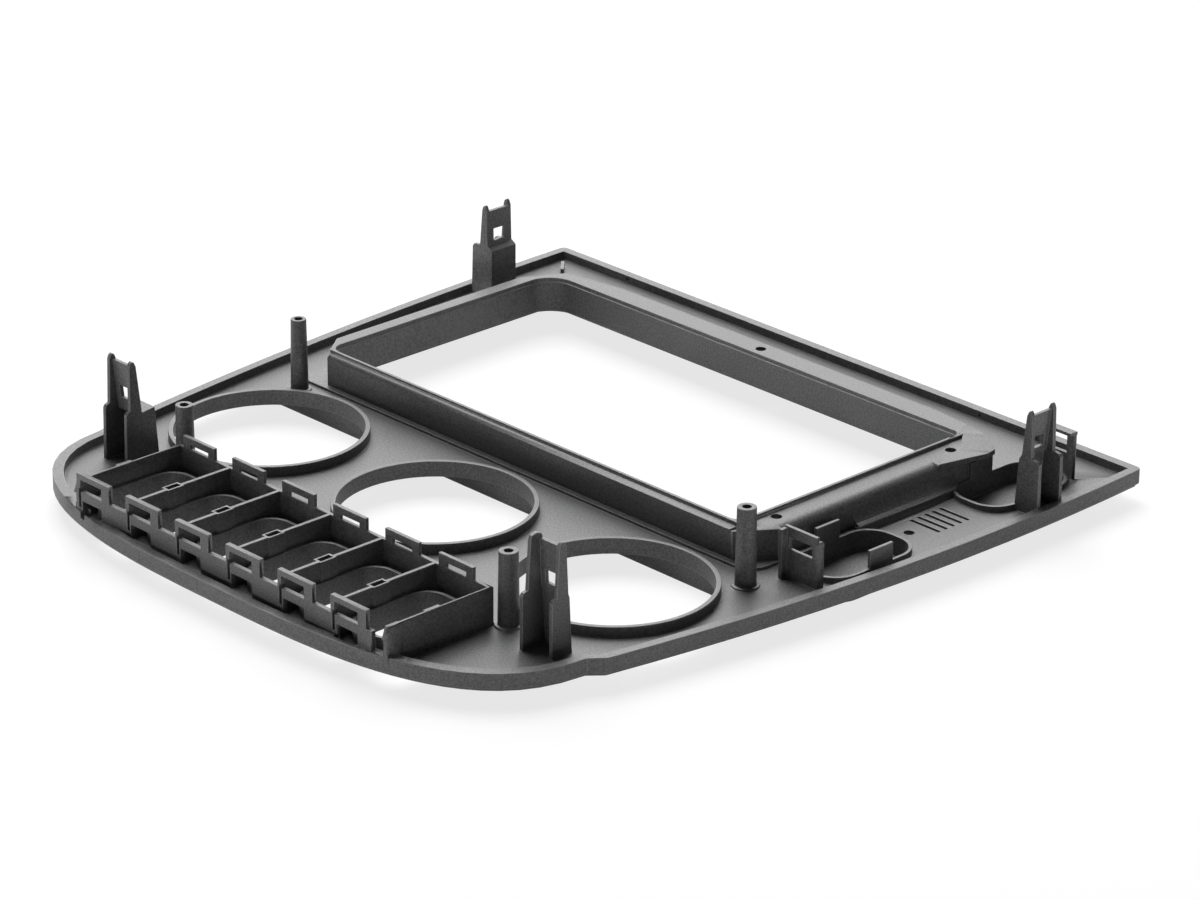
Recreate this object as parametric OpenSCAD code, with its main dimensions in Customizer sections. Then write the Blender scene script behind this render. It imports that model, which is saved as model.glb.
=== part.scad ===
// Dashboard radio mounting frame, moulded in one piece, lying face down, millimetres.
// X runs along the radio opening, Y from the switch pockets to the radio edge,
// Z from the front face (z = 0) to the back, where the towers and bosses stand.

/* [Outline] */
// widest reach of the right side, from the middle of the dial holes
right_w = 133.9; // [130:0.1:136]
// height at which the right side is widest
right_y = 134; // [126:1:142]
// radius of the long curve of the right side
right_r = 877; // [800:1:1000]
// widest reach of the left side
left_w = 135.6; // [131:0.1:137]
// height at which the left side would be widest
left_y = 190; // [184:1:196]
// radius of the long curve of the left side
left_r = 1380; // [1300:5:1500]
// straight top edge, from the row of dial holes
top_y = 182.4; // [175:0.1:195]
// small step in the sides, from the row of dial holes
step_y = -37; // [-39:0.5:-34]
// reach of the rounded lower end to the right
low_right = 113.4; // [110:0.1:115]
// reach of the rounded lower end to the left
low_left = 116; // [112:0.1:117]
// how far the lower end reaches below the line y = -30
low_reach = 60; // [59:0.1:64]
// fullness of the lower corners
low_power = 3; // [2.6:0.1:3.2]
// radius of the two top corners
corner_r = 2; // [1:0.5:6]

/* [Levels] */
// depth of the screen surround on the front, from its face to the plate
surround_h = 6; // [4:0.2:8]
// thickness of the plate
plate_t = 2; // [1.6:0.1:2.6]
// height of the rim above the back of the plate
rim_h = 3; // [2.4:0.1:4]
// depth of the skirt below the plate, on the front
skirt_h = 1.2; // [0.8:0.1:2]
// width of the rim
rim_w = 3.3; // [2.6:0.1:4]
// bevel of the front edge of the skirt
edge_c = 2.2; // [1:0.1:2.6]

/* [Dial holes] */
// inner diameter of each round dial hole
dial_d = 62; // [56:0.5:62.5]
// distance between neighbouring dial holes
dial_pitch = 80.2; // [72:0.1:84]
// wall of the dial collars
dial_wall = 1.6; // [1.2:0.1:2.4]
// height of the dial collars above the plate
dial_h = 3.4; // [2:0.1:6]

/* [Radio opening] */
// width of the radio opening
radio_w = 189.2; // [178:0.2:190]
// height of the radio opening
radio_h = 99.4; // [96:0.2:99.8]
// middle of the radio opening, left or right of the middle of the frame
radio_x = -7.2; // [-8:0.1:-5]
// near edge of the radio opening, from the row of dial holes
radio_y = 45.4; // [44:0.1:47]
// wall of the collar round the radio opening
collar_wall = 1.6; // [1.2:0.1:2]
// height of the collar above the plate
collar_h = 12; // [9:0.5:14]
// drop from the collar to the ledge along its near side
ledge_drop = 1.1; // [0.6:0.1:2]
// drop from the collar to the screw land on its right
land_drop = 1.4; // [0.8:0.1:2.4]
// wall left round the hollows under the lands
land_wall = 2.2; // [1.8:0.1:2.6]
// diameter of the screw holes in the lands
land_hole_d = 3.5; // [2.4:0.1:3.6]

/* [Screw bosses] */
// diameter of the two right bosses at the top
boss_d = 6; // [5:0.1:7]
// diameter of the two left bosses at the top
boss_left_d = 5.2; // [5:0.1:7]
// how much wider each boss is at its foot
boss_draft = 0.8; // [0.2:0.1:1.2]
// pilot hole in each boss
boss_hole_d = 2.8; // [2:0.1:3]
// depth of the pilot holes
boss_hole_h = 20; // [8:1:22]
// height of the two bosses beside the radio opening
boss_h = 26.2; // [20:0.1:30]
// height of the two bosses beside the pockets
boss_low_h = 24.4; // [20:0.1:28]

/* [Switch pockets] */
// distance between neighbouring pockets
pocket_pitch = 24.07; // [24:0.01:24.5]
// left end of the row of pockets
pocket_x = -71.8; // [-73:0.1:-71]
// inner face of the rear wall, below the row of dial holes
pocket_rear = 43.5; // [43:0.1:45]
// outer face of the near wall, below the row of dial holes
pocket_near = 84.5; // [84:0.1:84.6]
// height of the walls between the pockets
pocket_h = 12.3; // [10:0.1:14]
// thickness of the pocket walls
pocket_wall = 1.4; // [1.2:0.1:1.8]
// height of the rounded guide inside each pocket
guide_h = 5.9; // [4:0.1:8]
// corner radius of the guides
guide_r = 8; // [5:0.5:9]
// height of the snap loops above the plate
loop_h = 15.6; // [14:0.1:18]

/* [Snap towers] */
// height of the towers above the plate, before each one's own difference
tower_h = 34; // [28:0.5:38]
// height of the wide foot of the towers
tower_foot_h = 18.8; // [17:0.1:20]
// width of the towers
tower_w = 11.4; // [10:0.1:13]
// wall of the towers
tower_wall = 1.4; // [1.2:0.1:1.8]

/* [Side sockets] */
// width of the two sockets at the right
socket_w = 21.2; // [20:0.1:22]
// length of the two sockets
socket_l = 37.4; // [34:0.1:38]
// wall of the sockets
socket_wall = 1.2; // [1:0.1:1.6]
// height of the socket collars above the plate
socket_h = 2; // [1.4:0.1:3]
// depth of the sockets below the back of the plate
socket_deep = 4.8; // [3:0.1:6]
// height of the two side tabs of each socket above the plate
tab_h = 8; // [6:0.1:10]

/* [Hidden] */
$fn = 72;
eps = 0.01;
z_plate = surround_h;
z_back = surround_h + plate_t;
z_rim = z_back + rim_h;
z_skirt = z_plate - skirt_h;
z_collar = z_back + collar_h;
// the origin moves to the middle of the outline, from the middle dial hole
mid_x = (right_w - left_w) / 2;
mid_y = (top_y - 30 - low_reach) / 2;
dial_r = dial_d / 2;
r_x0 = radio_x - radio_w / 2;
r_x1 = radio_x + radio_w / 2;
r_y1 = radio_y + radio_h;
// corners of the raised land round the radio opening
land_x0 = r_x0 - 5.3;
land_x1 = r_x1 + 11.3;
land_y0 = radio_y - 5.1;
land_y1 = r_y1 + 8.6;
// screen surround on the front, clear of the dial holes by a small gap
sur_gap = 0.6;
sur_wall = 3.4;
sur_x0 = land_x0 - 12.2;
sur_x1 = land_x1 - 0.2;
sur_y0 = dial_r + sur_gap;
sur_y1 = land_y1 + 8.4;
sur_r = 7;
recess_z = z_plate + 0.6;
z_land = z_collar - land_drop;
shelf_t = 1.7;
// run and slope of the ramp from the screw land up to the collar
ramp_run = 10.2;
ramp_a = atan((land_drop - 0.01) / ramp_run);
lip_w = 2.6;
// place, height and top diameter of each boss
boss_pos = [[-103.9, 32.8, boss_h - 1, boss_left_d], [104.7, 31.8, boss_h, boss_d],
            [-75.9, -38, boss_low_h - 1, boss_left_d + 0.4], [76.6, -39.2, boss_low_h, boss_d]];
land_holes = [[r_x1 + 4.2, 58.2, z_land], [r_x1 + 5.6, 135.3, z_land],
              [-4.9, r_y1 + 4.4, z_collar]];
// left front loop of each pocket, measured from the wall at its left
near_loop = [0.2, 16];
rear_loop = [1.8, 17];
near_wall_h = 9.3;
window_h = 3.9;
window_w = 5;
sockets = [[113.2, 69.6, -1], [110.6, 144.4, 1]];

function side_x(y, w, r, m) = w - r + sqrt(r * r - (y - m) * (y - m));

// one half of the outline, drawn in by d, from the bottom middle to the top corner
function low_pt(t, d, a) = [(a - d) * pow(cos(t), 2 / low_power),
                            -30 - (low_reach - d) * pow(sin(t), 2 / low_power)];
function half_outline(d, a, w, r, m) = let (c = max(corner_r - d, 0.2), e = top_y - d - c) concat(
    [for (i = [0 : 26]) low_pt(90 - i * i * 85 / 676, d, a)],
    [for (i = [0 : 14]) let (y = step_y + i * (e - step_y) / 14) [side_x(y, w, r, m) - d, y]],
    [for (i = [1 : 4]) [side_x(e, w, r, m) - d - c + c * cos(i * 22.5), e + c * sin(i * 22.5)]]);
function outline(d) = let (h = half_outline(d, low_right, right_w, right_r, right_y),
                           g = half_outline(d, low_left, left_w, left_r, left_y), n = len(g))
    concat(h, [for (i = [n - 1 : -1 : 1]) [-g[i][0], g[i][1]]]);

// rounded rectangle with its own radius for each corner, near left first, turning left
function rrect(x0, y0, x1, y1, r) = concat(
    [for (i = [0 : 8]) let (a = 180 + i * 11.25) [x0 + r[0] + r[0] * cos(a), y0 + r[0] + r[0] * sin(a)]],
    [for (i = [0 : 8]) let (a = 270 + i * 11.25) [x1 - r[1] + r[1] * cos(a), y0 + r[1] + r[1] * sin(a)]],
    [for (i = [0 : 8]) let (a = i * 11.25) [x1 - r[2] + r[2] * cos(a), y1 - r[2] + r[2] * sin(a)]],
    [for (i = [0 : 8]) let (a = 90 + i * 11.25) [x0 + r[3] + r[3] * cos(a), y1 - r[3] + r[3] * sin(a)]]);
function same(r) = [r, r, r, r];

module prism(pts, z0, z1) {
    translate([0, 0, z0]) linear_extrude(height = z1 - z0) polygon(pts);
}

module block(x0, y0, z0, x1, y1, z1) {
    translate([x0, y0, z0]) cube([x1 - x0, y1 - y0, z1 - z0]);
}

// plate with the rim on its back and the bevelled skirt on its front
module shell() {
    prism(outline(0), z_plate, z_back);
    difference() {
        prism(outline(0), z_back - 1, z_rim);
        prism(outline(rim_w), z_back - 2, z_rim + 1);
    }
    difference() {
        prism(outline(edge_c / 2), z_skirt, z_plate + eps);
        prism(outline(rim_w), z_skirt - 1, z_plate + 1);
    }
}

// screen surround standing on the front, with the recess for the screen
module surround() {
    prism(rrect(sur_x0, sur_y0, sur_x1, sur_y1, same(sur_r)), 0, z_plate + eps);
}

module surround_recess() {
    prism(rrect(sur_x0 + sur_wall, sur_y0 + sur_wall, sur_x1 - sur_wall, sur_y1 - sur_wall,
                same(sur_r - sur_wall)), -1, recess_z);
}

module dial_collars() {
    for (i = [-1 : 1])
        translate([i * dial_pitch, 0, z_plate]) cylinder(r = dial_r + dial_wall, h = plate_t + dial_h);
}

module dial_bores() {
    for (i = [-1 : 1])
        translate([i * dial_pitch, 0, z_plate - 1]) cylinder(r = dial_r, h = plate_t + dial_h + 2);
}

// outline of the land, its near corners cut off, its far right corner pulled out by c
function land(d, c) = [[land_x0 + 8.6 - d, land_y0 - d], [land_x1 - 8.2 + d, land_y0 - d],
    [land_x1 + d, land_y0 + 11.6], [land_x1 + d, r_y1 - 20], [land_x1 + c + d, r_y1 - 3.4],
    [land_x1 + c - 0.4 + d, r_y1 + 1], [land_x1 - 2, r_y1 + 5 + d], [land_x1 - 14, r_y1 + 7 + d],
    [land_x1 - 29, land_y1 + d], [land_x0 + 33, land_y1 + d], [land_x0 + 8, land_y1 - 4 + d],
    [land_x0 - d, r_y1 - 10], [land_x0 - d, land_y0 + 11.6]];

module radio_land() {
    prism(rrect(land_x0 - 3.6, land_y0 - 2, land_x1 + 2, r_y1 - 26, [1.5, 8, 1.5, 1.5]),
          z_back - eps, z_back + 1);
    difference() {
        union() {
            prism(land(0, 0.5), z_back - eps, z_collar);
            prism(land(0, 4.2), z_land - shelf_t, z_collar);
        }
        block(land_x0 - 5, land_y0 - 5, z_collar - ledge_drop,
              land_x1 + 9, radio_y - collar_wall, z_collar + 1);
        // sunken right land, its far right corner rising to the collar as a ramp
        prism([[r_x1 + collar_wall, land_y0 - 5], [land_x1 + 9, land_y0 - 5], [land_x1 + 9, r_y1 + 2.2],
               [r_x1 + 7.4, r_y1 - 6.9], [r_x1 + collar_wall, r_y1 + 0.6]], z_land, z_collar + 1);
        translate([r_x1 + 1.6, r_y1 + 1.2, z_collar]) rotate([0, 0, 35.5]) rotate([ramp_a, 0, 0])
            translate([-4, -ramp_run / cos(ramp_a), 0]) cube([34, ramp_run / cos(ramp_a), 4]);
        land_shoulder();
    }
    // foot of the right land, running out over the strip
    translate([0, 131, 0]) rotate([90, 0, 0]) linear_extrude(height = 46.5)
        polygon([[land_x1 - 1, z_back + 1], [land_x1 + 3.4, z_back + 1], [land_x1 + 3.4, z_back + 2.6],
                 [land_x1 + 2, z_back + 3.1], [land_x1 + 0.9, z_back + 4.2], [land_x1 + 0.3, z_back + 5.8],
                 [land_x1 - 1, z_back + 8]]);
}

// rounded shoulder along the outer edge of the right land
module land_shoulder() {
    translate([0, r_y1 - 21, 0]) rotate([90, 0, 0]) linear_extrude(height = r_y1 - 21 - land_y0 - 13)
        polygon([[land_x1 + 1, z_land - 3.4], [land_x1 - 0.1, z_land - 3.4], [land_x1 - 0.4, z_land - 1.9],
                 [land_x1 - 1.1, z_land - 0.9], [land_x1 - 2.2, z_land - 0.3], [land_x1 - 3.8, z_land + 0.1],
                 [land_x1 + 1, z_land + 0.1]]);
}

module radio_opening() {
    prism(rrect(r_x0, radio_y, r_x1, r_y1, [4, 3, 2, 9]), -2, z_collar + 1);
    prism(rrect(r_x0 - 0.5, radio_y - 0.5, r_x1 + 0.5, r_y1 + 0.5, [4.5, 3.5, 2.5, 9.5]),
          z_collar - 1.4, z_collar + 1);
    // lip cut back round the front of the opening
    prism(rrect(r_x0 - lip_w, radio_y - lip_w, r_x1 + lip_w, r_y1 + lip_w, [6, 5, 4, 11]), -2, z_back + 0.2);
}

// hollows moulded up from the front under the two wide lands
module land_hollows() {
    block(r_x1 + land_wall, land_y0 + 14, z_plate - 1,
          land_x1 - land_wall - 1, r_y1 - 4.5, z_land - land_wall);
    block(land_x0 + 36, r_y1 + land_wall, z_plate - 1,
          land_x1 - 34, land_y1 - land_wall, z_collar - land_wall);
}

module land_screw_holes() {
    for (p = land_holes) translate([p[0], p[1], p[2] - 6]) cylinder(d = land_hole_d, h = 7);
}

module bosses() {
    for (p = boss_pos) {
        translate([p[0], p[1], z_back - eps]) cylinder(d1 = p[3] + boss_draft, d2 = p[3], h = p[2]);
        translate([p[0], p[1], z_back - eps]) cylinder(d = p[3] + 2.8, h = 0.6);
    }
}

module boss_holes() {
    for (p = boss_pos) translate([p[0], p[1], z_back + p[2] - boss_hole_h])
        cylinder(d = boss_hole_d, h = boss_hole_h + 1);
}

// snap loop: a frame with one window, standing on the plate
module loop(x0, x1, y0, y1, z_top, side0, side1, sill) {
    difference() {
        block(x0, y0, z_back - eps, x1, y1, z_top);
        block(x0 + side0, y0 - 1, sill, x1 - side1, y1 + 1, sill + window_h);
    }
}

function wall_x(i) = pocket_x + i * pocket_pitch;

module pocket_walls() {
    // walls between the pockets, lower where they meet the near wall
    for (i = [0 : 6]) {
        block(wall_x(i) - pocket_wall / 2, -pocket_near + 2.4, z_back - eps,
              wall_x(i) + pocket_wall / 2, -pocket_rear + pocket_wall, z_back + pocket_h);
        block(wall_x(i) - pocket_wall / 2, -pocket_near + 0.3, z_back - eps,
              wall_x(i) + pocket_wall / 2, -pocket_near + 3, z_back + near_wall_h);
    }
    block(wall_x(0), -pocket_rear, z_back - eps, wall_x(6), -pocket_rear + pocket_wall, z_back + pocket_h);
    block(wall_x(0), -pocket_near, z_back - eps, wall_x(6) - 5.6, -pocket_near + 1.6, z_back + near_wall_h);
    // end posts of the outer walls, sloping down at the near end
    for (x = [wall_x(0) - 1.3, wall_x(6) - 1.1]) translate([x + 2.2, 0, 0]) rotate([90, 0, -90])
        linear_extrude(height = 2.2)
            polygon([[pocket_near - 6, z_back - eps], [pocket_near - 0.4, z_back - eps],
                     [pocket_near - 0.4, z_back + 4.6], [pocket_near - 2, z_back + 5.6],
                     [pocket_near - 2, z_back + 7.6], [pocket_near, z_back + 8.2],
                     [pocket_near - 1.4, z_back + pocket_h], [pocket_near - 6, z_back + pocket_h]]);
}

module pocket_loops() {
    for (i = [0 : 5]) {
        loop(wall_x(i) + near_loop[0], wall_x(i) + near_loop[1], -pocket_near, -pocket_near + 1.7,
             z_back + loop_h - 0.5, 1.6, 3.7, z_back + near_wall_h);
        loop(wall_x(i) + rear_loop[0], wall_x(i) + rear_loop[1], -pocket_rear, -pocket_rear + 1.4,
             z_back + loop_h + 0.7, 3.2, 3, z_back + 10);
    }
}

// windows under the near loops and the slots that free them
module pocket_cuts() {
    for (i = [0 : 5]) {
        block(wall_x(i) + 2.6, -pocket_near - 1.4, z_back + 0.8,
              wall_x(i) + 12.2, -pocket_near + 2.3, z_back + 6.2);
        block(wall_x(i) + 0.9, -pocket_near - 1.4, z_back + 3.8,
              wall_x(i) + 2.0, -pocket_near + 2.3, z_back + near_wall_h + 1);
    }
}

// small lock sleeves on the walls between the pockets, a plain pad on the outer walls
module lock_sleeves() {
    for (i = [1 : 5]) block(wall_x(i) - 2.3, -68.4, z_back - eps, wall_x(i) + 1.2, -62, z_back + pocket_h);
    for (i = [0, 6]) block(wall_x(i) - 1.7, -68, z_back - eps, wall_x(i), -62, z_back + pocket_h);
}

module lock_slots() {
    for (i = [1 : 5])
        block(wall_x(i) - 1.5, -67.6, z_back + 3, wall_x(i) + 0.4, -62.8, z_back + pocket_h + 1);
}

module guide_shape(i, d, z0, z1) {
    prism(rrect(wall_x(i) + pocket_wall / 2 + d, -pocket_near + 3.4 + d,
                wall_x(i + 1) - pocket_wall / 2 - d, -pocket_rear - 2.8 - d, same(guide_r - d)), z0, z1);
}

module guides() {
    for (i = [0 : 5]) guide_shape(i, 0, z_back - eps, z_back + guide_h);
}

module guide_openings() {
    for (i = [0 : 5]) guide_shape(i, 1.2, z_plate - 2, z_back + guide_h + 1);
}

// side view of a tower cheek: foot, shoulder and rounded ear; b is the back edge and f the front
// edge at the foot, at the shoulder, just above the shoulder and at the top
function tower_side(b, f, h) = [[b[0], -eps], [f[0], -eps], [f[1], tower_foot_h - 1.2],
    [f[1] - 0.7, tower_foot_h - 0.3], [f[2], tower_foot_h], [f[3], h - 1.8], [f[3] - 0.5, h - 0.5],
    [(b[3] + f[3]) / 2, h], [b[3] + 0.6, h - 0.6], [b[3], h - 2], [b[2], back_step(b)],
    [b[1], tower_foot_h - 1]];
// where the back leaves the foot: lower where the foot reaches far back
function back_step(b) = tower_foot_h + (b[2] - b[1] > 2.5 ? -1.6 : 0.4);

// one snap tower, open towards +X, standing from z = 0 at the plate; f and g are its two cheeks
module tower(b, f, g, h) {
    w = tower_w;
    t = tower_wall;
    n = b[2] - b[1] > 2.5 ? 2.6 : 0;
    for (c = [[-w / 2, f], [w / 2 - t, g]])
        translate([0, c[0] + t, 0]) rotate([90, 0, 0])
            linear_extrude(height = t) polygon(tower_side(b, c[1], h));
    // back wall leaning with the cheeks, with the catch window in it
    difference() {
        translate([0, w / 2, 0]) rotate([90, 0, 0]) linear_extrude(height = w)
            polygon([[b[0], -eps], [b[0] + t, -eps], [b[1] + t, tower_foot_h - 1 - n],
                     [b[2] + t, tower_foot_h - n], [b[3] + t, h - 2], [b[3], h - 2],
                     [b[2], back_step(b)], [b[1], tower_foot_h - 1]]);
        block(-9, -window_w / 2, tower_foot_h + 1.8, 9, window_w / 2, tower_foot_h + 6);
    }
}

module towers() {
    // right and left towers beside the radio opening
    translate([123.6, 139.4, z_back])
        tower([-2, -0.7, 0.3, 1.7], [7.8, 7.6, 4.4, 4], [7.8, 7.6, 4.4, 4], tower_h + 0.6);
    translate([-121.2, 139.6, z_back]) rotate([0, 0, 180])
        tower([-0.7, -0.7, 1.5, 1.8], [9.6, 9, 5.4, 4.2], [9.6, 9, 5.4, 4.2], tower_h - 0.3);
    // two towers at the lower corners, open towards the near edge
    translate([96.8, -41.2, z_back]) rotate([0, 0, -90])
        tower([-3.4, -2.4, -1.9, -1.1], [7.1, 7.1, 4.9, 3.8], [4.6, 4.6, 2.6, 1.8], tower_h + 2.4);
    translate([-97.1, -41.2, z_back]) rotate([0, 0, -90])
        tower([-5, -3.6, 1.5, 3.4], [8.8, 8.4, 6.6, 6.1], [8.2, 7.8, 6.2, 6.1], tower_h + 1.4);
}

// walls, side tabs and end loop of the two side sockets
module socket_shape(s, d, z0, z1) {
    prism(rrect(s[0] - socket_w / 2 - d, s[1] - socket_l / 2 - d,
                s[0] + socket_w / 2 + d, s[1] + socket_l / 2 + d, same(8.5 + d)), z0, z1);
}

module socket_walls() {
    for (s = sockets) {
        socket_shape(s, socket_wall, z_back - socket_deep - 1.6, z_back + socket_h);
        y0 = s[1] - (s[2] < 0 ? 4.8 : 6.8);
        for (x = [s[0] - socket_w / 2 - socket_wall, s[0] + socket_w / 2])
            block(x, y0, z_back - eps, x + socket_wall, y0 + 10.2, z_back + tab_h - (s[2] < 0 ? 0 : 0.6));
    }
    // loop at the near end, with a short flange on each side
    loop(107.5, 121, 45.2, 46.5, z_back + 17, 2.3, 1.8, z_back + 9.7);
    block(107.5, 42.8, z_back - eps, 108.9, 46, z_back + 16.4);
    block(119.8, 45.2, z_back - eps, 121.4, 48.2, z_back + 14.8);
    // loop at the far end
    difference() {
        union() {
            block(104.4, 164.4, z_back - eps, 118.8, 165.9, z_back + loop_h + 0.3);
            block(104.4, 163, z_back + loop_h - 0.7, 118.8, 166.2, z_back + loop_h + 0.5);
        }
        block(107.4, 162, z_back + 8.4, 116, 167, z_back + loop_h - 1.2);
    }
}

module socket_hollows() {
    for (s = sockets) socket_shape(s, 0, z_back - socket_deep, z_back + socket_h + 1);
}

// raised strip beside the land, with its small notch
module strip() {
    difference() {
        block(land_x1 - 2, 84.5, z_back - eps, land_x1 + 3.8, 131, z_back + 2.4);
        translate([land_x1 + 1.4, 104.4, z_back + 1.2]) cylinder(d = 2, h = 2);
    }
}

// short rib in the far left corner of the rim
module corner_rib() {
    translate([-left_w + rim_w + 6, top_y - rim_w - 6, z_back - eps]) rotate([0, 0, -45])
        translate([0, -0.6, 0]) cube([8, 1.2, 2.6]);
}

module vents() {
    for (i = [0 : 4]) block(105.4, 103.4 + i * 3.33, z_plate - 1, 117.6, 104.6 + i * 3.33, z_back + 1);
}

module small_holes() {
    translate([111.6, 96.6, z_plate - 1]) cylinder(d = 3.4, h = plate_t + 2);
    for (x = [-100, 66]) translate([x, top_y - rim_w - 1, z_back + 1.4])
        rotate([-90, 0, 0]) cylinder(d = 1.2, h = rim_w + 2);
}

module frame() {
    color("#2c2d2f") translate([-mid_x, -mid_y, 0]) difference() {
        union() {
            shell();
            surround();
            dial_collars();
            radio_land();
            bosses();
            difference() {
                union() {
                    pocket_walls();
                    lock_sleeves();
                    guides();
                }
                guide_openings();
                lock_slots();
            }
            pocket_loops();
            towers();
            socket_walls();
            strip();
            corner_rib();
        }
        surround_recess();
        land_hollows();
        radio_opening();
        dial_bores();
        land_screw_holes();
        boss_holes();
        pocket_cuts();
        vents();
        small_holes();
        socket_hollows();
        // openings through the plate itself
        for (i = [0 : 5]) guide_shape(i, 1.2, z_plate - 2, z_back + 0.5);
    }
}

frame();
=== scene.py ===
"""Looks of the dashboard radio mounting frame, lying face down on a pale table.

Metres, in the part's own frame: X along the radio opening, Y towards its far edge, Z up.
"""

from __future__ import annotations

import logging
import math
from dataclasses import dataclass, field
from enum import Enum, IntEnum

import bpy
from mathutils import Color, Matrix, Vector
from mathutils.bvhtree import BVHTree
from mathutils.kdtree import KDTree


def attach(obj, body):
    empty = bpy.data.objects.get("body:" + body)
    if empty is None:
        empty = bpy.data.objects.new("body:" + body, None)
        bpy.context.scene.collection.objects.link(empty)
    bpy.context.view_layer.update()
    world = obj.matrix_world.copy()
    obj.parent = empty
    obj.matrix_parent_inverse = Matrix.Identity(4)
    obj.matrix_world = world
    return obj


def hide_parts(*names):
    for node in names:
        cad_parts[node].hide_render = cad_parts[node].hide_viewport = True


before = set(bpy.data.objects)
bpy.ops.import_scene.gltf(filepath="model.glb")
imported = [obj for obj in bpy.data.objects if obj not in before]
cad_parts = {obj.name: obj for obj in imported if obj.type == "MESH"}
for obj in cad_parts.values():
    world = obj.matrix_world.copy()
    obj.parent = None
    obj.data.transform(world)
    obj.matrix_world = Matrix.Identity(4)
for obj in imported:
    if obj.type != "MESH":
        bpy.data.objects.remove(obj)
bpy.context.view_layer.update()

MM = 0.001
WHITE = (1.0, 1.0, 1.0, 1.0)
MIDDLE = 0.5
LOG = logging.getLogger("radio_frame")


def grey(value: float, warmth: float = 0.0) -> tuple[float, float, float, float]:
    """Linear colour of a grey written as it is seen on a screen.

    Args:
        value: screen value from 0 to 1.
        warmth: how much redder than blue it is, on the same scale.
    Returns:
        Linear red, green, blue and alpha.
    """
    shown = Color((value + warmth / 2, value, value - warmth / 2))
    return (*shown.from_srgb_to_scene_linear(), 1.0)


@dataclass(frozen=True)
class Noise:
    """A layer of noise.

    Args:
        scale: features to the metre.
        octaves: how many finer layers it holds.
        finer: share of the finer ones.
    """

    scale: float
    octaves: float
    finer: float = 0.5


@dataclass(frozen=True)
class Step:
    """A soft step from 0 to 1.

    Args:
        edge: where it starts.
        width: how far on it ends.
    """

    edge: float
    width: float


@dataclass(frozen=True)
class Relief:
    """How a finish's fine surface stands out.

    Args:
        depth: depth in metres.
        strength: share of it that shows.
    """

    depth: float
    strength: float


class Wire:
    """An output socket that is added, multiplied and so on like a number."""

    def __init__(self, tree: bpy.types.NodeTree, socket: bpy.types.NodeSocket) -> None:
        """Keeps the tree and the socket."""
        self.tree = tree
        self.socket = socket

    def _maths(self, operation: str, other: Wire | float, clamp: bool = False) -> Wire:
        """Adds one Math node.

        Args:
            operation: the node's operation.
            other: wire or number for its second input.
            clamp: whether its result is kept from 0 to 1.
        Returns:
            The node's result.
        """
        node = self.tree.nodes.new("ShaderNodeMath")
        node.operation = operation
        node.use_clamp = clamp
        plug(node.inputs[0], self)
        plug(node.inputs[1], other)
        return Wire(self.tree, node.outputs[0])

    def __add__(self, other: Wire | float) -> Wire:
        """Sum."""
        return self._maths("ADD", other)

    def __sub__(self, other: Wire | float) -> Wire:
        """Difference."""
        return self._maths("SUBTRACT", other)

    def __mul__(self, other: Wire | float) -> Wire:
        """Product."""
        return self._maths("MULTIPLY", other)

    def __truediv__(self, other: Wire | float) -> Wire:
        """Quotient."""
        return self._maths("DIVIDE", other)

    def clamped(self) -> Wire:
        """The value kept from 0 to 1."""
        return self._maths("ADD", 0.0, clamp=True)

    def swing(self) -> Wire:
        """A noise less its average."""
        return self - MIDDLE

    def above(self, step: Step) -> Wire:
        """Where the value is past a soft step."""
        return ((self - step.edge) / step.width).clamped()


def plug(socket: bpy.types.NodeSocket, value: Wire | float | tuple) -> None:
    """Feeds an input socket.

    Args:
        socket: the input.
        value: a wire to link, or a constant to set.
    """
    if isinstance(value, Wire):
        value.tree.links.new(value.socket, socket)
    else:
        socket.default_value = value


class MixSocket(IntEnum):
    """Places of the colour sockets of a Mix node, whose names repeat for each kind of value."""

    FACTOR = 0
    FIRST = 6
    SECOND = 7
    RESULT = 2


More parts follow.
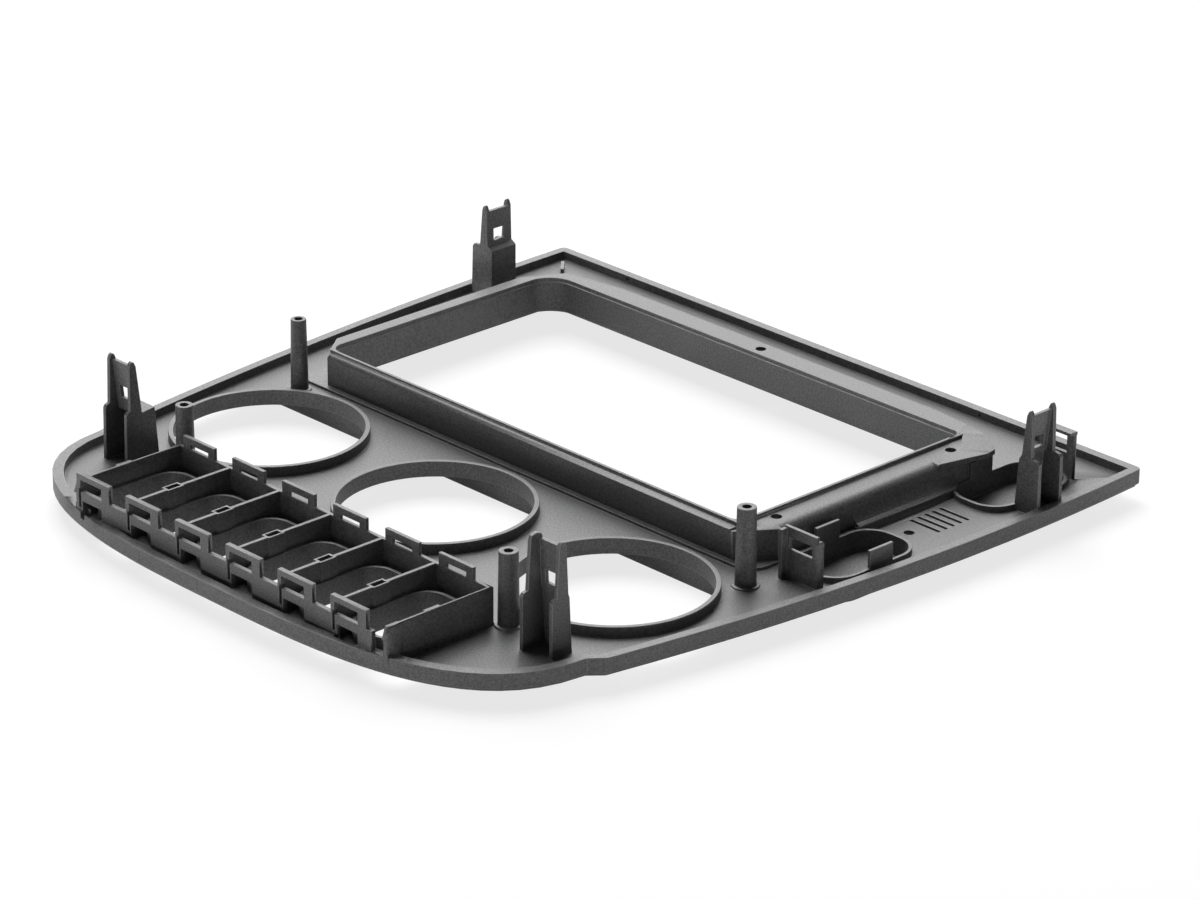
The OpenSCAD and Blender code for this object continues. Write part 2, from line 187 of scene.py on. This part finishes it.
class Shader:
    """The node tree of a material or of the world, filled one node at a time."""

    refraction = 1.5
    specular = 0.5

    def __init__(self, owner: bpy.types.Material | bpy.types.World, output: str) -> None:
        """Clears the tree down to its output.

        Args:
            owner: what the tree belongs to.
            output: the output node's kind.
        """
        owner.use_nodes = True
        self.owner = owner
        self.tree = owner.node_tree
        self.tree.nodes.clear()
        self.output = self.node(output)

    @classmethod
    def for_material(cls, name: str) -> Shader:
        """Starts a new material."""
        return cls(bpy.data.materials.new(name), "OutputMaterial")

    @classmethod
    def for_world(cls, name: str) -> Shader:
        """Starts a new world and makes it the scene's own."""
        bpy.context.scene.world = bpy.data.worlds.new(name)
        return cls(bpy.context.scene.world, "OutputWorld")

    def node(self, kind: str, **values: Wire | float | tuple) -> bpy.types.Node:
        """Adds any node.

        Args:
            kind: the node's type, without the leading ShaderNode.
            values: numbers, colours or wires by input name, with _ for a space.
        Returns:
            The node.
        """
        made = self.tree.nodes.new("ShaderNode" + kind)
        for name, value in values.items():
            plug(made.inputs[name.replace("_", " ")], value)
        return made

    def wire(self, node: bpy.types.Node, output: str | int = 0) -> Wire:
        """The named output of a node as a wire."""
        return Wire(self.tree, node.outputs[output])

    def place(self) -> Wire:
        """The piece's own coordinates."""
        return self.wire(self.node("TexCoord"), "Object")

    def noise(self, place: Wire, layer: Noise) -> Wire:
        """Lays a noise.

        Args:
            place: coordinates.
            layer: the noise's size and fineness.
        Returns:
            The noise, MIDDLE on average.
        """
        made = self.node(
            "TexNoise", Vector=place, Scale=layer.scale, Detail=layer.octaves, Roughness=layer.finer
        )
        return self.wire(made, "Fac")

    def mixed(self, factor: Wire, first: tuple | Wire, second: tuple | Wire) -> Wire:
        """A colour between two.

        Args:
            factor: 0 gives the first colour, 1 the second.
            first: colour or wire.
            second: colour or wire.
        Returns:
            The colour.
        """
        made = self.tree.nodes.new("ShaderNodeMix")
        made.data_type = "RGBA"
        plug(made.inputs[MixSocket.FACTOR], factor)
        plug(made.inputs[MixSocket.FIRST], first)
        plug(made.inputs[MixSocket.SECOND], second)
        return self.wire(made, MixSocket.RESULT)

    def layered(self, factor: Wire, under: bpy.types.Node, over: bpy.types.Node) -> bpy.types.Node:
        """A surface between two.

        Args:
            factor: 0 shows the first surface, 1 the second.
            under: the first surface.
            over: the second surface.
        Returns:
            The surface.
        """
        made = self.node("MixShader", Fac=factor)
        _, first, second = made.inputs
        plug(first, self.wire(under))
        plug(second, self.wire(over))
        return made

    def plastic(self, colour: Wire, roughness: Wire, height: Wire, relief: Relief) -> bpy.types.Node:
        """A plastic surface.

        Args:
            colour: its colour.
            roughness: its roughness.
            height: its fine surface, from 0 to about 1.
            relief: how that stands out.
        Returns:
            The surface.
        """
        bump = self.node("Bump", Strength=relief.strength, Distance=relief.depth, Height=height)
        return self.node(
            "BsdfPrincipled",
            Base_Color=colour,
            Roughness=roughness.clamped(),
            Normal=self.wire(bump),
            IOR=self.refraction,
            Specular_IOR_Level=self.specular,
        )

    def show(self, surface: bpy.types.Node) -> bpy.types.Material | bpy.types.World:
        """Links a surface to the output and returns what the tree belongs to."""
        plug(self.output.inputs["Surface"], self.wire(surface))
        return self.owner


@dataclass(frozen=True)
class MouldedPlastic:
    """Dark matte moulded plastic with a fine spark-eroded grain and faint flow marks."""

    name: str = "moulded_charcoal_plastic"

    shade: float = 0.36
    shade_spread: float = 0.07
    dark_warmth: float = 0.002
    light_warmth: float = -0.004
    speck_shade: float = 0.42
    speck_share: float = 0.35

    roughness: float = 0.46
    grain_roughness: float = 0.10
    cloud_roughness: float = 0.10
    flow_roughness: float = 0.05
    scuff_polish: float = 0.05

    grain_tone: float = 3.2
    cloud_tone: float = 0.8
    flow_tone: float = 0.6
    scuff_tone: float = 0.12

    pit_height: float = 0.35
    cloud_height: float = 1.2
    relief: Relief = Relief(0.04 * MM, 0.55)

    grain: Noise = Noise(1500.0, 3.0, 0.62)
    pits: Noise = Noise(420.0, 2.0)
    clouds: Noise = Noise(26.0, 4.0, 0.6)
    flow: Noise = Noise(7.0, 2.0)
    specks: Noise = Noise(2600.0, 1.0)
    speck_step: Step = Step(0.68, 0.05)
    facing_up: Step = Step(0.6, 0.3)

    scuff_turn: tuple[float, float, float] = (0.0, 0.0, 0.6)
    scuff_stretch: tuple[float, float, float] = (40.0, 900.0, 200.0)
    scuff_lines: Noise = Noise(1.0, 2.0, 0.7)
    scuff_line_step: Step = Step(0.62, 0.06)
    scuff_patches: Noise = Noise(34.0, 2.0)
    scuff_patch_step: Step = Step(0.56, 0.12)

    def material(self) -> bpy.types.Material:
        """Builds the material.

        Returns:
            The material, on the piece's own coordinates.
        """
        s = Shader.for_material(self.name)
        place = s.place()
        grain = s.noise(place, self.grain)
        clouds = s.noise(place, self.clouds)
        flow = s.noise(place, self.flow)
        pits = s.noise(place, self.pits)
        scuffs = self._scuffs(s, place)

        tone = grain.swing() * self.grain_tone + clouds.swing() * self.cloud_tone
        tone = tone + flow.swing() * self.flow_tone + MIDDLE
        tone = tone + scuffs * self.scuff_tone * self._facing_up(s)
        dark = grey(self.shade - self.shade_spread, self.dark_warmth)
        light = grey(self.shade + self.shade_spread, self.light_warmth)
        specks = s.noise(place, self.specks).above(self.speck_step) * self.speck_share
        colour = s.mixed(specks, s.mixed(tone.clamped(), dark, light), grey(self.speck_shade))

        rough = clouds.swing() * self.cloud_roughness + flow.swing() * self.flow_roughness
        rough = rough + grain.swing() * self.grain_roughness
        rough = rough + self.roughness - scuffs * self.scuff_polish
        height = grain + pits * self.pit_height + clouds * self.cloud_height
        return s.show(s.plastic(colour, rough, height, self.relief))

    def _facing_up(self, s: Shader) -> Wire:
        """1 on faces that look up, 0 on the walls, for the material being built."""
        normal = s.wire(s.node("NewGeometry"), "Normal")
        return s.wire(s.node("SeparateXYZ", Vector=normal), "Z").above(self.facing_up)

    def _scuffs(self, s: Shader, place: Wire) -> Wire:
        """Fine drawn-out handling marks.

        Args:
            s: the material being built.
            place: coordinates.
        Returns:
            0 on clean plastic, 1 on a mark.
        """
        drawn = s.node("Mapping", Vector=place, Rotation=self.scuff_turn, Scale=self.scuff_stretch)
        lines = s.noise(s.wire(drawn), self.scuff_lines).above(self.scuff_line_step)
        return lines * s.noise(place, self.scuff_patches).above(self.scuff_patch_step)


@dataclass(frozen=True)
class EdgePlasticWithPaintedHighlight:
    """The same plastic on its small rounded edges, where the mould leaves it smoother, painted a
    lighter grey as a painted highlight along the edges.
    """

    name: str = "moulded_charcoal_edges_painted_highlight"

    # painted highlight: the rounds are a lighter grey than the faces so the edges show as bright
    # lines; the wear noise only varies that grey at random
    shade: float = 0.45
    darker: float = 0.05
    lighter: float = 0.06
    roughness: float = 0.30

    wear: Noise = Noise(160.0, 3.0, 0.6)
    wear_tone: float = 1.6
    wear_roughness: float = 0.14
    grain: Noise = Noise(1800.0, 2.0, 0.6)
    grain_tone: float = 0.8
    grain_roughness: float = 0.08
    relief: Relief = Relief(0.02 * MM, 0.4)

    def material(self) -> bpy.types.Material:
        """Builds the material and returns it."""
        s = Shader.for_material(self.name)
        place = s.place()
        wear = s.noise(place, self.wear)
        grain = s.noise(place, self.grain)
        tone = wear.swing() * self.wear_tone + grain.swing() * self.grain_tone + MIDDLE
        dark, light = grey(self.shade - self.darker), grey(self.shade + self.lighter)
        rough = wear.swing() * self.wear_roughness + grain.swing() * self.grain_roughness
        colour = s.mixed(tone.clamped(), dark, light)
        return s.show(s.plastic(colour, rough + self.roughness, grain, self.relief))


class Finish(IntEnum):
    """Places of the moulding's two finishes among its materials."""

    FACES = 0
    ROUNDS = 1


def only(piece: bpy.types.Object) -> None:
    """Selects one object and makes it the active one."""
    bpy.ops.object.select_all(action="DESELECT")
    piece.select_set(True)
    bpy.context.view_layer.objects.active = piece


@dataclass
class EdgeRounder:
    """Rounds the sharp edges, and leaves sharp those that end where a round would fold.

    Args:
        radius: width of the round.
        steps: faces across it.
        sharp_from: turn from which an edge is sharp.
        tries: how often the rounds are tried on a copy.
        reach: how near a crowded corner an edge loses its round.
        stray: how far a round may lie from the moulding.
        smallest: area under which a triangle is passed over.
        least_flat: cosine between a triangle and its face, under which it is folded.
        least_outward: cosine between a triangle and the moulding, under which it is turned over.
    """

    radius: float = 0.22 * MM
    steps: int = 2
    sharp_from: float = math.radians(30.0)
    tries: int = 4
    reach: float = 0.8 * MM
    stray: float = 0.4 * MM
    smallest: float = 0.01 * MM * MM
    least_flat: float = 0.3
    least_outward: float = 0.2

    def apply(self, piece: bpy.types.Object) -> None:
        """Rounds the edges of a piece.

        Args:
            piece: a closed mesh; the faces of its rounds take its second material.
        """
        mesh = piece.data
        corners = [vertex.co for vertex in mesh.vertices]
        surface = BVHTree.FromPolygons(corners, [tuple(face.vertices) for face in mesh.polygons])
        mesh.attributes.new("bevel_weight_edge", "FLOAT", "EDGE")
        for weight, sharp in zip(self._weights(mesh), self._sharp(mesh)):
            weight.value = float(sharp)
        for _ in range(self.tries):
            crowded = self._crowded(piece, surface)
            LOG.info("edges without room for their round: %d corners", len(crowded))
            if not crowded:
                break
            self._release(mesh, crowded)
        self._bevel(piece)

    def _weights(self, mesh: bpy.types.Mesh) -> bpy.types.bpy_prop_collection:
        """The share of the round that each edge takes."""
        return mesh.attributes["bevel_weight_edge"].data

    def _sharp(self, mesh: bpy.types.Mesh) -> list[bool]:
        """Whether each edge turns by more than the limit."""
        normals: dict[tuple[int, int], list[Vector]] = {}
        for face in mesh.polygons:
            for key in face.edge_keys:
                normals.setdefault(key, []).append(face.normal)
        pairs = (normals[tuple(sorted(edge.vertices))] for edge in mesh.edges)
        return [len(pair) == 2 and pair[0].angle(pair[1], 0.0) > self.sharp_from for pair in pairs]

    def _crowded(self, piece: bpy.types.Object, surface: BVHTree) -> list[Vector]:
        """Tries the rounds on a copy.

        Args:
            piece: the piece to be rounded.
            surface: its faces before the rounds.
        Returns:
            Corners of the faces that fold over or leave the surface.
        """
        trial = piece.copy()
        trial.data = piece.data.copy()
        bpy.context.scene.collection.objects.link(trial)
        self._bevel(trial)
        mesh = trial.data
        mesh.calc_loop_triangles()
        corners: list[Vector] = []
        for triangle in mesh.loop_triangles:
            if triangle.area < self.smallest:
                continue
            _, outward, _, distance = surface.find_nearest(triangle.center)
            flat = triangle.normal.dot(mesh.polygons[triangle.polygon_index].normal)
            turned = outward.dot(triangle.normal) < self.least_outward
            if flat < self.least_flat or turned or distance > self.stray:
                corners += [mesh.vertices[i].co.copy() for i in triangle.vertices]
        bpy.data.objects.remove(trial)
        bpy.data.meshes.remove(mesh)
        return corners

    def _release(self, mesh: bpy.types.Mesh, crowded: list[Vector]) -> None:
        """Leaves the edges near crowded corners sharp."""
        tree = KDTree(len(crowded))
        for index, corner in enumerate(crowded):
            tree.insert(corner, index)
        tree.balance()
        near = [tree.find(vertex.co)[2] < self.reach for vertex in mesh.vertices]
        for edge, weight in zip(mesh.edges, self._weights(mesh)):
            if near[edge.vertices[0]] or near[edge.vertices[1]]:
                weight.value = 0.0

    def _bevel(self, piece: bpy.types.Object) -> None:
        """Rounds the weighted edges."""
        only(piece)
        rounding = piece.modifiers.new("edge_round", "BEVEL")
        rounding.width = self.radius
        rounding.segments = self.steps
        rounding.limit_method = "WEIGHT"
        rounding.use_clamp_overlap = False
        rounding.loop_slide = False
        rounding.material = Finish.ROUNDS
        bpy.ops.object.modifier_apply(modifier=rounding.name)


@dataclass
class MouldedFrame:
    """The whole frame: one moulding with a small round on its edges and corners."""

    node: str = "frame"
    name: str = "moulded_frame"
    weld: float = 0.002 * MM
    flat_within: float = math.radians(0.5)
    wide_face: float = 40.0 * MM * MM
    nearly_level: float = 0.985
    crease_from: float = math.radians(2.0)
    area_weight: int = 100
    rounder: EdgeRounder = field(default_factory=EdgeRounder)
    plastic: MouldedPlastic = field(default_factory=MouldedPlastic)
    edges: EdgePlasticWithPaintedHighlight = field(default_factory=EdgePlasticWithPaintedHighlight)

    def build(self) -> bpy.types.Object:
        """Rounds and dresses a merged copy of the moulding.

        Returns:
            The piece that stands for the moulding.
        """
        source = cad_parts[self.node]
        piece = bpy.data.objects.new(self.name, source.data.copy())
        piece.data.name = self.name
        bpy.context.scene.collection.objects.link(piece)
        self._merge(piece)
        self._dress(piece)
        self.rounder.apply(piece)
        self._shade(piece)
        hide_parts(self.node)
        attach(piece, "root")
        return piece

    def _merge(self, piece: bpy.types.Object) -> None:
        """Joins the loose triangles and clears the flat faces of inner edges."""
        only(piece)
        bpy.ops.object.mode_set(mode="EDIT")
        bpy.ops.mesh.select_all(action="SELECT")
        if piece.data.has_custom_normals:
            bpy.ops.mesh.customdata_custom_splitnormals_clear()
        bpy.ops.mesh.remove_doubles(threshold=self.weld)
        bpy.ops.mesh.dissolve_limited(angle_limit=self.flat_within)
        bpy.ops.mesh.vert_connect_concave()
        bpy.ops.object.mode_set(mode="OBJECT")

    def _dress(self, piece: bpy.types.Object) -> None:
        """Gives the faces the plastic and keeps the edge finish, with its painted highlight, for the
        rounds.
        """
        piece.data.materials.clear()
        piece.data.materials.append(self.plastic.material())
        piece.data.materials.append(self.edges.material())
        for face in piece.data.polygons:
            face.material_index = Finish.FACES

    def _shade(self, piece: bpy.types.Object) -> None:
        """Shades the rounds smoothly into the flat faces, and keeps wide faces apart."""
        only(piece)
        bpy.ops.object.shade_smooth()
        level: dict[tuple[int, int], list[Vector]] = {}
        for face in piece.data.polygons:
            if face.area > self.wide_face or face.normal.z > self.nearly_level:
                for key in face.edge_keys:
                    level.setdefault(key, []).append(face.normal)
        for edge in piece.data.edges:
            pair = level.get(tuple(sorted(edge.vertices)), [])
            edge.use_edge_sharp = len(pair) == 2 and pair[0].angle(pair[1], 0.0) > self.crease_from
        flats = piece.modifiers.new("flat_faces", "WEIGHTED_NORMAL")
        flats.mode = "FACE_AREA"
        flats.weight = self.area_weight
        flats.keep_sharp = True
        bpy.ops.object.modifier_apply(modifier=flats.name)


@dataclass(frozen=True)
class EjectorMark:
    """Faint round witness line that an ejector pin leaves on a flat face."""

    name: str
    place: tuple[float, float, float]
    radius: float
    line: float = 0.11 * MM
    raised: float = 0.03 * MM
    round_segments: int = 48
    line_segments: int = 8

    def build(self, plastic: bpy.types.Material) -> bpy.types.Object:
        """Lays the line on its face.

        Args:
            plastic: the line's finish.
        Returns:
            The ring.
        """
        bpy.ops.object.select_all(action="DESELECT")
        bpy.ops.mesh.primitive_torus_add(
            major_segments=self.round_segments,
            minor_segments=self.line_segments,
            major_radius=self.radius,
            minor_radius=self.line,
        )
        ring = bpy.context.object
        ring.name = self.name
        ring.data.name = self.name
        bpy.ops.object.mode_set(mode="EDIT")
        bpy.ops.mesh.select_all(action="SELECT")
        x, y, z = self.place
        bpy.ops.transform.translate(value=(x, y, z - self.line + self.raised))
        bpy.ops.object.mode_set(mode="OBJECT")
        bpy.ops.object.shade_smooth()
        ring.data.materials.append(plastic)
        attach(ring, "root")
        return ring


@dataclass(frozen=True)
class EjectorMarks:
    """The ejector marks on the back; the narrow side land takes slimmer pins than the plate."""

    land_z: float = 18.6 * MM
    land_pin: float = 2.1 * MM
    on_land: tuple[tuple[float, float], ...] = ((93.0 * MM, 18.0 * MM), (92.9 * MM, 48.8 * MM))
    plate_z: float = 8.0 * MM
    plate_pin: float = 2.6 * MM
    on_plate: tuple[tuple[float, float], ...] = ((123.6 * MM, 53.8 * MM), (114.2 * MM, -12.6 * MM))

    def build(self, plastic: bpy.types.Material) -> list[bpy.types.Object]:
        """Lays every mark.

        Args:
            plastic: the marks' finish.
        Returns:
            The rings.
        """
        spots = [((x, y, self.land_z), self.land_pin) for x, y in self.on_land]
        spots += [((x, y, self.plate_z), self.plate_pin) for x, y in self.on_plate]
        return [
            EjectorMark(f"ejector_mark_{number}", place, radius).build(plastic)
            for number, (place, radius) in enumerate(spots, start=1)
        ]


def direction(azimuth: float, elevation: float) -> Vector:
    """Unit vector from the table's middle towards a lamp or the camera.

    Args:
        azimuth: degrees round from the part's near side, towards its right.
        elevation: degrees above the table.
    Returns:
        The vector.
    """
    a, e = math.radians(azimuth), math.radians(elevation)
    return Vector((math.sin(a) * math.cos(e), -math.cos(a) * math.cos(e), math.sin(e)))


class LampForm(Enum):
    """What a lamp is."""

    SQUARE = "SQUARE"
    STRIP = "RECTANGLE"


@dataclass(frozen=True)
class Lamp:
    """A soft studio lamp that looks at the middle of the table; only a strip has a height."""

    name: str
    azimuth: float
    elevation: float
    distance: float
    width: float
    watts: float
    form: LampForm = LampForm.SQUARE
    height: float = 0.0

    def build(self) -> bpy.types.Object:
        """Places the lamp.

        Returns:
            The lamp.
        """
        data = bpy.data.lights.new(self.name, "AREA")
        data.shape = self.form.value
        data.size = self.width
        if self.form is LampForm.STRIP:
            data.size_y = self.height
        data.energy = self.watts
        lamp = bpy.data.objects.new(self.name, data)
        bpy.context.scene.collection.objects.link(lamp)
        away = direction(self.azimuth, self.elevation)
        lamp.location = away * self.distance
        lamp.rotation_euler = away.to_track_quat("Z", "Y").to_euler()
        return lamp


@dataclass
class Studio:
    """Pale table, soft lamps and an even pale surround."""

    table_size: float = 24.0
    table_gap: float = 0.05 * MM
    table_shade: float = 0.90
    glow: float = 1.08
    glow_share: float = 0.72
    glossy_share: float = 0.5
    surround: float = 0.03
    lamps: tuple[Lamp, ...] = (
        Lamp("back_softbox", 224.0, 31.0, 1.7, 1.8, 30.0),
        Lamp("top_softbox", 246.0, 64.0, 1.5, 1.1, 24.0),
        Lamp("low_front_fill", -12.0, 4.0, 1.5, 1.2, 4.6, LampForm.STRIP, 0.2),
        Lamp("low_right_fill", 78.0, 2.5, 1.3, 0.9, 1.2, LampForm.STRIP, 0.1),
    )

    def build(self) -> None:
        """Builds the table, the surround and the lamps."""
        self._table()
        self._surround()
        for lamp in self.lamps:
            lamp.build()

    def _table(self) -> None:
        """Table top just under the part, white to the camera apart from its shadow."""
        bpy.ops.object.select_all(action="DESELECT")
        bpy.ops.mesh.primitive_plane_add(size=self.table_size, location=(0, 0, -self.table_gap))
        table = bpy.context.object
        table.name = "table"
        s = Shader.for_material("pale_table")
        ray = s.node("LightPath")
        seen = s.wire(ray, "Is Camera Ray") + s.wire(ray, "Is Transmission Ray")
        seen = (seen + s.wire(ray, "Is Glossy Ray") * self.glossy_share).clamped()
        matt = s.node("BsdfDiffuse", Color=grey(self.table_shade))
        glow = s.node("Emission", Color=WHITE, Strength=self.glow)
        table.data.materials.append(s.show(s.layered(seen * self.glow_share, matt, glow)))

    def _surround(self) -> None:
        """Even pale light from all round, white where the camera sees past the table."""
        s = Shader.for_world("pale_surround")
        dim = s.node("Background", Color=WHITE, Strength=self.surround)
        white = s.node("Background", Color=WHITE, Strength=1.0)
        s.show(s.layered(s.wire(s.node("LightPath"), "Is Camera Ray"), dim, white))


@dataclass(frozen=True)
class PhotoCamera:
    """Camera at the photograph's angle, found from the part's own edges and holes."""

    azimuth: float = 46.25
    elevation: float = 23.34
    roll: float = math.radians(0.40)
    focal_px: float = 4703.0
    image_px: float = 1200.0
    distance: float = 1469.02 * MM
    shift_right: float = -51.47 * MM
    shift_up: float = -26.32 * MM
    aim: tuple[float, float, float] = (0.85 * MM, -46.2 * MM, 0.0)
    nearest: float = 0.05
    farthest: float = 60.0

    def build(self) -> bpy.types.Object:
        """Makes the scene's camera.

        Returns:
            The camera.
        """
        back = direction(self.azimuth, self.elevation)
        a = math.radians(self.azimuth)
        level = Vector((math.cos(a), math.sin(a), 0))
        upright = back.cross(level)
        right = math.cos(self.roll) * level + math.sin(self.roll) * upright
        up = math.cos(self.roll) * upright - math.sin(self.roll) * level
        place = Vector(self.aim) + back * self.distance
        place -= right * self.shift_right + up * self.shift_up
        data = bpy.data.cameras.new("photo_camera")
        data.lens = self.focal_px * data.sensor_width / self.image_px
        data.clip_start = self.nearest
        data.clip_end = self.farthest
        camera = bpy.data.objects.new("photo_camera", data)
        bpy.context.scene.collection.objects.link(camera)
        turn = Matrix((right, up, back)).transposed()
        camera.matrix_world = Matrix.Translation(place) @ turn.to_4x4()
        bpy.context.scene.camera = camera
        return camera


def main() -> None:
    """Builds the dressed frame and the studio round it."""
    logging.basicConfig(level=logging.INFO, format="%(name)s: %(message)s")
    moulding = MouldedFrame().build()
    # the marks take the rounds' finish, so they carry its painted highlight, a lighter grey than the
    # faces
    marks = EjectorMarks().build(moulding.data.materials[Finish.ROUNDS])
    for piece in (moulding, *marks):
        LOG.info("%s: %d faces", piece.name, len(piece.data.polygons))
    Studio().build()
    PhotoCamera().build()
    bpy.context.scene.view_settings.view_transform = "Standard"


if __name__ == "__main__":
    main()
